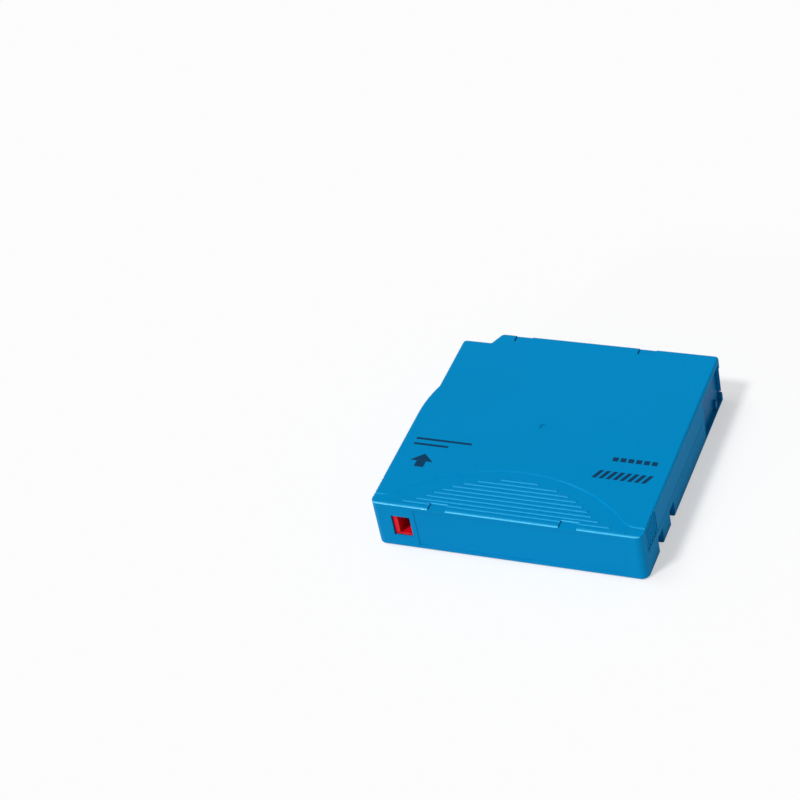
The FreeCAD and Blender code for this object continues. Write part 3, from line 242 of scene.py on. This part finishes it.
# ---------------------------------------------------------------- colours
CASE_BLUE = linear(0, 132, 190)
HIGHLIGHT_BLUE = linear(70, 200, 245)
# The door's blue is the case's blue darkened: painted shade for the door on the shaded side.
DOOR_SHADED_BLUE = linear(0, 112, 170)
PRINT_BLUE = linear(14, 58, 92)
GLOSS_TINT = (0.2, 0.8, 1.0)
SLIDER_RED = linear(222, 8, 34)
NATURAL = (0.70, 0.69, 0.64)
WHITE = (0.78, 0.78, 0.75)
BLACK = (0.020, 0.020, 0.022)
RUBBED_GREY = (0.22, 0.22, 0.21)
ZINC = (0.62, 0.61, 0.58)
BRIGHT = (0.66, 0.66, 0.67)
WIRE = (0.50, 0.50, 0.51)
TARNISH = (0.30, 0.24, 0.17)
PACK_DARK = (0.020, 0.016, 0.014)
PACK_PALE = (0.050, 0.040, 0.034)
PACK_EDGE = (0.075, 0.062, 0.052)
FILM_DARK = (0.022, 0.018, 0.016)
FILM_PALE = (0.036, 0.030, 0.026)
LACQUER_DARK = (0.012, 0.085, 0.035)
LACQUER_PALE = (0.018, 0.115, 0.05)
ANTENNA = (0.10, 0.26, 0.09)


# ---------------------------------------------------------------- plastics
GRAIN = 0.12 * MM
EDGE_ROUNDING = 0.12 * MM
WORN_EDGE = 0.25 * MM
CASE_GLOSS = 0.03


def moulded(name, colour, rough=0.42, gloss=0.3, depth=0.004 * MM, flow=0.04, pale=0.35):
    """Moulded plastic: flow shading, spark-eroded grain, paled edges and faint scuffs. The paled edges
    are rubbed wear and, where pale is high as on the slider, also a painted highlight. Depth is the
    grain's, flow the share by which the colour varies, pale how far edges are paled."""
    shader = Shader(name)
    shader.soften(EDGE_ROUNDING)
    currents = shader.span(shader.noise(28 * MM, detail=3.0, stretch=(2, 1, 1)), 0.3, 0.7)
    body = shader.mix(currents, shaded(colour, -flow), shaded(colour, flow))
    fine = shader.noise(GRAIN, detail=2.0, roughness=0.6)
    pits = shader.noise(GRAIN * 5, detail=2.0)
    scuffs = shader.noise(6 * MM, detail=5.0, roughness=0.65)
    edge_wear_and_highlight = shader.both(shader.edges(WORN_EDGE), shader.span(scuffs, 0.35, 0.65))
    rubbed_and_highlight_colour = shaded(tuple(c + 0.06 for c in colour), 0.5)
    body = shader.mix(shader.math("MULTIPLY", edge_wear_and_highlight, pale), body, rubbed_and_highlight_colour)
    roughness = shader.math("ADD", shader.span(fine, 0.25, 0.75, rough - 0.06, rough + 0.06),
                            shader.span(scuffs, 0.55, 0.75, 0.0, 0.04))
    shader.set(Base_Color=body, Roughness=roughness, Specular_IOR_Level=gloss)
    shader.bump(pits, depth)
    shader.bump(fine, depth)
    shader.body, shader.roughness, shader.scuffs = body, roughness, scuffs
    return shader


# The print's places, in millimetres from the case's front left corner
MARK_BARS = (
    ((5.0, 36.2), (27.5, 37.3)),
    ((5.0, 33.2), (19.0, 34.3)),
)
ARROW_STEM = ((9.6, 21.4), (13.4, 24.6))
ARROW_FOOT = (11.5, 24.6)
ARROW_HEIGHT = 4.2
ARROW_SLOPE = 1.1
SQUARE_ROW = ((82.6, 37.2), (99.8, 39.4))
SQUARE_PITCH = 3.0
SQUARE_SHARE = 0.72
HATCH_PITCH = 2.7
HATCH_SHARE = 0.6
HATCH_COUNT = 8
HATCH_START = 77.6
HATCH_SPAN = (HATCH_START, HATCH_START + HATCH_COUNT * HATCH_PITCH)
HATCH_RISE = (27.4, 31.8)
HATCH_SLANT = 0.5
PRINT_EDGE = 0.04


class Print:
    """Shapes on the top plate, as masks over a shader's own ground."""

    def __init__(self, shader):
        self.shader = shader
        self.x = shader.math("MULTIPLY", shader.math("SUBTRACT", shader.x, LEFT), 1 / MM)
        self.y = shader.math("MULTIPLY", shader.math("SUBTRACT", shader.y, FRONT), 1 / MM)

    def field(self, low, high):
        """A rectangle between two corners."""
        across = self.shader.between(self.x, low[0], high[0], PRINT_EDGE)
        return self.shader.both(across, self.shader.between(self.y, low[1], high[1], PRINT_EDGE))

    def repeated(self, value, start, pitch, share):
        """1 over the first share of each pitch, from the start on."""
        steps = self.shader.math("DIVIDE", self.shader.math("SUBTRACT", value, start), pitch)
        turn = self.shader.math("FRACT", steps)
        return self.shader.span(turn, share, share + PRINT_EDGE, 1.0, 0.0)

    def arrow_head(self):
        """A triangle that points away from the label side."""
        tip = (ARROW_FOOT[1] + ARROW_HEIGHT) * ARROW_SLOPE
        half_width = self.shader.math("MULTIPLY_ADD", self.y, -ARROW_SLOPE, tip)
        beside = self.shader.math("ABSOLUTE", self.shader.math("SUBTRACT", self.x, ARROW_FOOT[0]))
        margin = self.shader.math("SUBTRACT", half_width, beside)
        inside = self.shader.span(margin, -PRINT_EDGE, PRINT_EDGE)
        above_foot = self.shader.span(self.y, ARROW_FOOT[1] - PRINT_EDGE, ARROW_FOOT[1] + PRINT_EDGE)
        return self.shader.both(inside, above_foot)

    def squares(self):
        across = self.repeated(self.x, SQUARE_ROW[0][0], SQUARE_PITCH, SQUARE_SHARE)
        return self.shader.both(self.field(*SQUARE_ROW), across)

    def hatch(self):
        """A row of bars that lean to the right."""
        upright = self.shader.math("ADD", self.x, HATCH_RISE[0] * HATCH_SLANT)
        foot = self.shader.math("MULTIPLY_ADD", self.y, -HATCH_SLANT, upright)
        return self.shader.both(self.shader.between(foot, *HATCH_SPAN, PRINT_EDGE),
                                self.repeated(foot, HATCH_START, HATCH_PITCH, HATCH_SHARE),
                                self.shader.between(self.y, *HATCH_RISE, PRINT_EDGE))


def printed_marks(shader):
    """Where the top plate is printed: bars, an insertion arrow, a row of squares and a hatch."""
    ink = Print(shader)
    marks = [ink.field(*bar) for bar in MARK_BARS]
    marks += [ink.field(*ARROW_STEM), ink.arrow_head(), ink.squares(), ink.hatch()]
    on_top = shader.span(shader.z, TOP - 0.1 * MM, TOP - 0.05 * MM)
    return shader.both(shader.either(*marks), on_top)


# Painted highlights: the top plate's rounded front edge, and the grip and recesses behind it, are paled
# towards a highlight blue by the shares below.
# Depths and reaches are from the case's front, and bands from the top plate down.
RIM_DEPTH = 0.8 * MM
RIM_BAND = (0.7 * MM, 0.3 * MM)
RIM_HIGHLIGHT = 0.8
RIM_POLISH = 0.6
RIM_ROUGHNESS = 0.18
GRIP_REACH = 22 * MM
GRIP_BAND = (1.5 * MM, 1.2 * MM)
GRIP_HIGHLIGHT = 0.42
RECESS_MIDDLES = (-26.2 * MM, 24.5 * MM)
RECESS_WIDTH = 7.0 * MM
RECESS_REACH = 3.5 * MM
RECESS_SLOPE = 0.35 * MM
LIP_HIGHLIGHT = 0.9


def front_rim(shader):
    """1 along the lower half of the top plate's rounded front edge, which is coated and painted with a
    highlight.
    """
    front = shader.span(shader.y, FRONT + RIM_DEPTH * 0.8, FRONT + RIM_DEPTH, 1.0, 0.0)
    return shader.both(front, shader.between(shader.z, TOP - RIM_BAND[0], TOP - RIM_BAND[1], 0.05 * MM))


def grip_flank_highlight(shader):
    """The steepness of the grip's ridges and recesses, whose flanks get a painted highlight."""
    front = shader.span(shader.y, FRONT + GRIP_REACH, FRONT + GRIP_REACH * 1.1, 1.0, 0.0)
    behind_rim = shader.span(shader.y, FRONT + RIM_DEPTH, FRONT + RIM_DEPTH * 1.2)
    high = shader.span(shader.z, TOP - GRIP_BAND[0], TOP - GRIP_BAND[1])
    return shader.both(front, behind_rim, high, shader.flanks())


def recess_lips(shader):
    """1 on the sloped inner edges of the two front recesses, which get a painted highlight."""
    across = shader.either(*(
        shader.between(shader.x, middle - RECESS_WIDTH / 2, middle + RECESS_WIDTH / 2)
        for middle in RECESS_MIDDLES))
    back = shader.between(shader.y, FRONT + RECESS_REACH, FRONT + RECESS_REACH + RECESS_SLOPE)
    high = shader.span(shader.z, TOP - RECESS_SLOPE * 1.3, TOP - RECESS_SLOPE)
    return shader.both(across, back, high)


def painted_highlights(shader, rim):
    """How far each place is paled into a painted highlight, given the rim's mask."""
    return shader.either(shader.math("MULTIPLY", rim, RIM_HIGHLIGHT),
                         shader.math("MULTIPLY", grip_flank_highlight(shader), GRIP_HIGHLIGHT),
                         shader.math("MULTIPLY", recess_lips(shader), LIP_HIGHLIGHT))


# The label panel, from the case's left side and from the plane that it rests on
LABEL_SPAN = (16.9 * MM, 98.0 * MM)
LABEL_RISE = (2.2 * MM, 19.4 * MM)
LABEL_SMOOTHER = 0.05
SIDES_DULLER = 0.3
RUBS_DULLER = 0.1
RUBS_PALER = 0.16
PRINT_DULLER = 0.08
PRINT_HEIGHT = 0.006 * MM


def label_panel(shader):
    """1 on the shallow panel of the label side."""
    return shader.both(
        shader.between(shader.x, LEFT + LABEL_SPAN[0], LEFT + LABEL_SPAN[1]),
        shader.between(shader.z, *LABEL_RISE),
        shader.span(shader.y, FRONT + 0.4 * MM, FRONT + 0.5 * MM, 1.0, 0.0))


def outer_faces(shader):
    """1 on the right and left sides and on the underside, which slide in a drive."""
    return shader.either(
        shader.span(shader.math("ABSOLUTE", shader.x), RIGHT - 0.3 * MM, RIGHT - 0.1 * MM),
        shader.span(shader.z, 0.05 * MM, 0.2 * MM, 1.0, 0.0))


def case_material():
    """The shells: blue plastic, smoother label panel, rubbed sides, printed marks and painted
    highlights.
    """
    shader = moulded("case_plastic", CASE_BLUE, rough=0.24, gloss=CASE_GLOSS, pale=0.08, flow=0.02)
    rim = front_rim(shader)
    shader.set(Specular_Tint=GLOSS_TINT, Coat_Roughness=RIM_ROUGHNESS,
               Coat_Weight=shader.math("MULTIPLY", rim, RIM_POLISH))
    # Painted highlights: the rim, the grip's ridge flanks and the recesses' lips are paled towards a
    # highlight blue.
    body = shader.mix(painted_highlights(shader, rim), shader.body, HIGHLIGHT_BLUE)

    outer = outer_faces(shader)
    lines = shader.noise(0.35 * MM, detail=3.0, stretch=(1, 60, 1))
    rubbed = shader.both(outer, shader.span(lines, 0.6, 0.72), shader.span(shader.scuffs, 0.4, 0.6))
    body = shader.mix(shader.math("MULTIPLY", rubbed, RUBS_PALER), body, shaded(CASE_BLUE, 0.5))

    marks = printed_marks(shader)
    broken = shader.span(shader.noise(0.25 * MM, detail=2.0), 0.24, 0.34, 0.55, 1.0)
    body = shader.mix(shader.both(marks, broken), body, PRINT_BLUE)

    smoother = shader.math("MULTIPLY", label_panel(shader), LABEL_SMOOTHER)
    roughness = shader.math("SUBTRACT", shader.roughness, smoother)
    for mask, duller in ((rubbed, RUBS_DULLER), (outer, SIDES_DULLER), (marks, PRINT_DULLER)):
        roughness = shader.math("ADD", roughness, shader.math("MULTIPLY", mask, duller))
    shader.set(Base_Color=body, Roughness=roughness)
    shader.bump(marks, PRINT_HEIGHT)
    return shader


def hub_material(name, colour):
    """Natural plastic, greyed where a drive's teeth have rubbed it."""
    shader = moulded(name, colour, rough=0.4, gloss=0.5, depth=0.003 * MM, flow=0.03, pale=0.2)
    low = shader.span(shader.z, 1.8 * MM, 2.6 * MM, 1.0, 0.0)
    dirt = shader.both(low, shader.span(shader.noise(0.6 * MM, detail=4.0), 0.35, 0.65, 0.15, 0.7))
    shader.set(Base_Color=shader.mix(shader.math("MULTIPLY", dirt, 0.35), shader.body, RUBBED_GREY))
    shader.bump(shader.rings(0.25 * MM), 0.002 * MM)
    return shader


# ---------------------------------------------------------------- metals, film and board
def steel(name, colour, rough, pattern, depth, stain=0.12):
    """Steel with the pattern of how it was made, and a faint uneven tarnish.
    The pattern is a function that takes the shader and gives a height."""
    shader = Shader(name)
    shader.soften(0.1 * MM)
    height = pattern(shader)
    cloud = shader.noise(3 * MM, detail=4.0)
    tarnish = shader.span(cloud, 0.4, 0.75)
    body = shader.mix(shader.span(height, 0.3, 0.7), shaded(colour, -0.12), shaded(colour, 0.08))
    body = shader.mix(shader.math("MULTIPLY", tarnish, stain), body, TARNISH)
    roughness = shader.math("ADD", shader.span(height, 0.3, 0.7, rough - 0.05, rough + 0.07),
                            shader.math("MULTIPLY", tarnish, 0.08))
    shader.set(Base_Color=body, Roughness=roughness, Metallic=1.0)
    shader.bump(height, depth)
    return shader


def lapped(shader):
    """Fine rings about the reel's axis."""
    return shader.rings(0.12 * MM)


def drawn(shader):
    """Fine streaks round a wire or a pin."""
    return shader.noise(0.09 * MM, detail=3.0, stretch=(8, 8, 1))


def tumbled(shader):
    """An even, rough surface, as of small plated parts."""
    return shader.noise(0.18 * MM, detail=4.0, roughness=0.6)


def wound_tape():
    """The pack's edge: bands of film wound a little proud or shy of each other."""
    shader = Shader("tape_edge")
    turns = shader.rings(0.06 * MM)
    bands = shader.rings(1.6 * MM)
    body = shader.mix(shader.span(bands, 0.35, 0.65), PACK_DARK, PACK_PALE)
    body = shader.mix(shader.span(turns, 0.45, 0.7, 0.0, 0.5), body, PACK_EDGE)
    shader.set(Base_Color=body, Roughness=shader.span(bands, 0.3, 0.7, 0.22, 0.38))
    shader.bump(bands, 0.02 * MM)
    shader.bump(turns, 0.006 * MM)
    return shader


def film():
    """The tape's free end: coated film, glossy, with faint lengthwise lines."""
    shader = Shader("tape_film")
    lines = shader.noise(0.15 * MM, detail=2.0, stretch=(60, 60, 1))
    body = shader.mix(shader.span(lines, 0.35, 0.65), FILM_DARK, FILM_PALE)
    shader.set(Base_Color=body, Roughness=shader.span(lines, 0.3, 0.7, 0.16, 0.26))
    shader.bump(lines, 0.003 * MM)
    return shader


# The antenna's turns: how many fit between the middle and the edge, and the part that has them
LOOPS_PER_HALF = 14.4
LOOPS_RANGE = (0.58, 0.93)


def board():
    """The memory's board: green lacquer over an antenna of nested turns."""
    shader = Shader("memory_board")
    low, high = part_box("memory_board")
    middle = (low + high) / 2
    half = (high - low) / 2

    def from_middle(value, centre, reach):
        """0 in the middle and 1 at the edge."""
        share = shader.math("DIVIDE", shader.math("SUBTRACT", value, centre), reach)
        return shader.math("ABSOLUTE", share)

    along = from_middle(shader.x, middle.x, half.x)
    across = from_middle(shader.z, middle.z, half.z)
    inset = shader.math("MULTIPLY", shader.math("SUBTRACT", across, 1.0), half.z / half.x)
    rim = shader.math("MAXIMUM", along, shader.math("ADD", inset, 1.0))
    turn = shader.math("FRACT", shader.math("MULTIPLY", rim, LOOPS_PER_HALF))
    loops = shader.both(shader.span(turn, 0.45, 0.55), shader.between(rim, *LOOPS_RANGE, 0.01))
    specks = shader.noise(0.3 * MM, detail=2.0)
    body = shader.mix(shader.span(specks, 0.3, 0.7), LACQUER_DARK, LACQUER_PALE)
    shader.set(Base_Color=shader.mix(loops, body, ANTENNA), Coat_Weight=0.4,
               Roughness=shader.span(specks, 0.3, 0.7, 0.3, 0.42))
    shader.bump(loops, 0.03 * MM)
    return shader


# ---------------------------------------------------------------- finishes by node
def make_materials():
    """The finish of each node, by the node's name."""
    case = case_material()
    # The door: the case's plastic with a darker blue, which is painted shade.
    door = moulded("door_plastic", DOOR_SHADED_BLUE, rough=0.36, gloss=CASE_GLOSS, flow=0.02, pale=0.1)
    # The slider's edges are paled strongly: partly rubbed wear, partly a painted highlight along its
    # rims.
    slider = moulded("slider_plastic", SLIDER_RED, rough=0.36, gloss=0.15, pale=0.8)
    natural = hub_material("hub_plastic", NATURAL)
    flange = moulded("flange_plastic", WHITE, rough=0.32, gloss=0.5, depth=0.002 * MM, flow=0.03)
    white = moulded("brake_plastic", WHITE, rough=0.42, gloss=0.5, flow=0.02)
    black = moulded("black_plastic", BLACK, rough=0.45, gloss=0.5, flow=0.1, pale=0.15)
    spring = steel("spring_wire", WIRE, 0.28, drawn, 0.003 * MM)
    return {
        "top_shell": case,
        "bottom_shell": case,
        "case_screws": steel("screw_steel", ZINC, 0.34, tumbled, 0.006 * MM),
        "reel_hub": natural,
        "reel_upper_flange": flange,
        "reel_drive_plate": steel("drive_plate_steel", BRIGHT, 0.30, lapped, 0.004 * MM, stain=0.06),
        "tape_pack": wound_tape(),
        "tape_leader": film(),
        "leader_pin": steel("pin_steel", BRIGHT, 0.24, drawn, 0.002 * MM, stain=0.04),
        "leader_pin_clip": black,
        "leader_pin_spring": spring,
        "brake_button": white,
        "brake_spring": spring,
        "brake_release_pad": white,
        "door": door,
        "door_spring": spring,
        "write_protect_slider": slider,
        "memory_board": board(),
        "memory_chip": black,
    }


def dress_nodes(materials):
    """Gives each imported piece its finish."""
    for name, piece in nodes.items():
        piece.data.materials.clear()
        piece.data.materials.append(materials[name].material)


# ---------------------------------------------------------------- springs
def spring_mesh(name, radius, wire, turns, length, closed, steps=40, sides=12):
    """A round-wire spring along +Z from height 0, with closed turns at both ends."""
    build = bmesh.new()
    count = int(turns * steps)
    open_turns = turns - 2 * closed
    pitch = (length - wire - 2 * closed * wire) / open_turns
    loops = []
    for i in range(count + 1):
        turn = turns * i / count
        ends = min(turn, closed) + max(turn - turns + closed, 0)
        height = wire / 2 + ends * wire + (turn - ends) * pitch
        angle = math.tau * turn
        outward = Vector((math.cos(angle), math.sin(angle), 0))
        middle = outward * radius + Vector((0, 0, height))
        loops.append([
            build.verts.new(middle + (outward * math.cos(a) + Vector((0, 0, math.sin(a)))) * wire / 2)
            for a in (math.tau * j / sides for j in range(sides))])
    for near, far in zip(loops, loops[1:]):
        for j in range(sides):
            k = (j + 1) % sides
            build.faces.new((near[j], near[k], far[k], far[j]))
    build.faces.new(loops[0][::-1])
    build.faces.new(loops[-1])
    bmesh.ops.recalc_face_normals(build, faces=build.faces)
    mesh = bpy.data.meshes.new(name)
    build.to_mesh(mesh)
    build.free()
    for face in mesh.polygons:
        face.use_smooth = len(face.vertices) == 4
    piece = bpy.data.objects.new(name, mesh)
    bpy.context.scene.collection.objects.link(piece)
    return piece


# Each spring: the wire's thickness, the turns, and how many of them are closed at each end
BRAKE_WIRE = 0.8 * MM
BRAKE_TURNS = 4.0
BRAKE_CLOSED = 0.4
DOOR_WIRE = 0.32 * MM
DOOR_TURNS = 14.0
DOOR_CLOSED = 1.0


def make_springs(material):
    """Both coil springs, smooth, in the places of the plain ones."""
    low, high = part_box("brake_spring")
    length = high.z - low.z
    radius = (high.x - low.x - BRAKE_WIRE) / 2
    spring = spring_mesh("brake_coil", radius, BRAKE_WIRE, BRAKE_TURNS, length, BRAKE_CLOSED)
    spring.data.transform(Matrix.Translation((0, 0, low.z)))
    finish_spring(spring, material, "brake_spring")
    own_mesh(spring)

    low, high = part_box("door_spring")
    length = high.y - low.y
    radius = (high.z - low.z - DOOR_WIRE) / 2
    spring = spring_mesh("door_coil", radius, DOOR_WIRE, DOOR_TURNS, length, DOOR_CLOSED)
    middle = (low + high) / 2
    turn = Matrix.Rotation(math.radians(-90), 4, "X")
    spring.data.transform(Matrix.Translation((middle.x, low.y, middle.z)) @ turn)
    finish_spring(spring, material, "door_spring")
    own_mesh(spring)


def finish_spring(spring, material, node):
    """Puts a spring in its plain one's place."""
    spring.data.materials.append(material)
    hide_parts(node)
    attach(spring, "case")


# ---------------------------------------------------------------- studio
WORLD_LEVEL = 0.24
FLOOR_SIZE = 6.0
FLOOR_DROP = 0.05 * MM
FLOOR_COLOUR = (0.94, 0.94, 0.94)
FLOOR_GLOW = 0.5
# Each lamp: where its light comes from, the angle that it fills in degrees, and its level
LAMPS = {
    "key": ((-0.29, -0.46, 0.84), 10.0, 1.95),
    "overhead": ((-0.38, -0.03, 0.92), 30.0, 0.8),
    "low_front": ((-0.39, -0.90, 0.20), 4.0, 0.4),
}


def seen_rays(tree):
    """1 for rays that the camera, a mirror or glass sends out, which see the plain backdrop."""
    path = tree.nodes.new("ShaderNodeLightPath")
    total = path.outputs["Is Camera Ray"]
    for name in ("Is Glossy Ray", "Is Transmission Ray"):
        most = tree.nodes.new("ShaderNodeMath")
        most.operation = "MAXIMUM"
        tree.links.new(total, most.inputs[0])
        tree.links.new(path.outputs[name], most.inputs[1])
        total = most.outputs[0]
    return total


def make_world():
    """A soft even light, which looks white to the camera and in reflections."""
    world = bpy.data.worlds.new("studio")
    bpy.context.scene.world = world
    world.use_nodes = True
    tree = world.node_tree
    level = tree.nodes.new("ShaderNodeMapRange")
    level.inputs["To Min"].default_value = WORLD_LEVEL
    tree.links.new(seen_rays(tree), level.inputs["Value"])
    soft = tree.nodes["Background"]
    soft.inputs["Color"].default_value = (1, 1, 1, 1)
    tree.links.new(level.outputs["Result"], soft.inputs["Strength"])


def far_lamp(name, towards, spread, level):
    """A lamp so far off that it lights the whole floor evenly, as wide as the angle it fills."""
    data = bpy.data.lights.new(name, "SUN")
    data.angle = math.radians(spread)
    data.energy = level
    lamp = bpy.data.objects.new(name, data)
    lamp.location = towards
    lamp.rotation_euler = (-Vector(towards)).to_track_quat("-Z", "Y").to_euler()
    bpy.context.scene.collection.objects.link(lamp)


def make_floor():
    """A plain floor that looks white and keeps a soft share of the shadow."""
    mesh = bpy.data.meshes.new("floor")
    build = bmesh.new()
    bmesh.ops.create_grid(build, x_segments=1, y_segments=1, size=FLOOR_SIZE)
    build.to_mesh(mesh)
    build.free()
    floor = bpy.data.objects.new("floor", mesh)
    floor.location = (0, 0, -FLOOR_DROP)
    bpy.context.scene.collection.objects.link(floor)
    shader = Shader("floor")
    shader.set(Base_Color=FLOOR_COLOUR, Roughness=0.8, Specular_IOR_Level=0.0)
    glow = shader.node("ShaderNodeEmission")
    blend = shader.node("ShaderNodeMixShader")
    shader.link(shader.math("MULTIPLY", seen_rays(shader.tree), FLOOR_GLOW), blend.inputs[0])
    shader.link(shader.surface.outputs[0], blend.inputs[1])
    shader.link(glow.outputs[0], blend.inputs[2])
    shader.link(blend.outputs[0], shader.output.inputs["Surface"])
    mesh.materials.append(shader.material)


make_camera()
materials = make_materials()
dress_nodes(materials)
make_springs(materials["brake_spring"].material)
make_world()
for name, lamp in LAMPS.items():
    far_lamp(name, *lamp)
make_floor()

bpy.context.scene.view_settings.view_transform = "Standard"
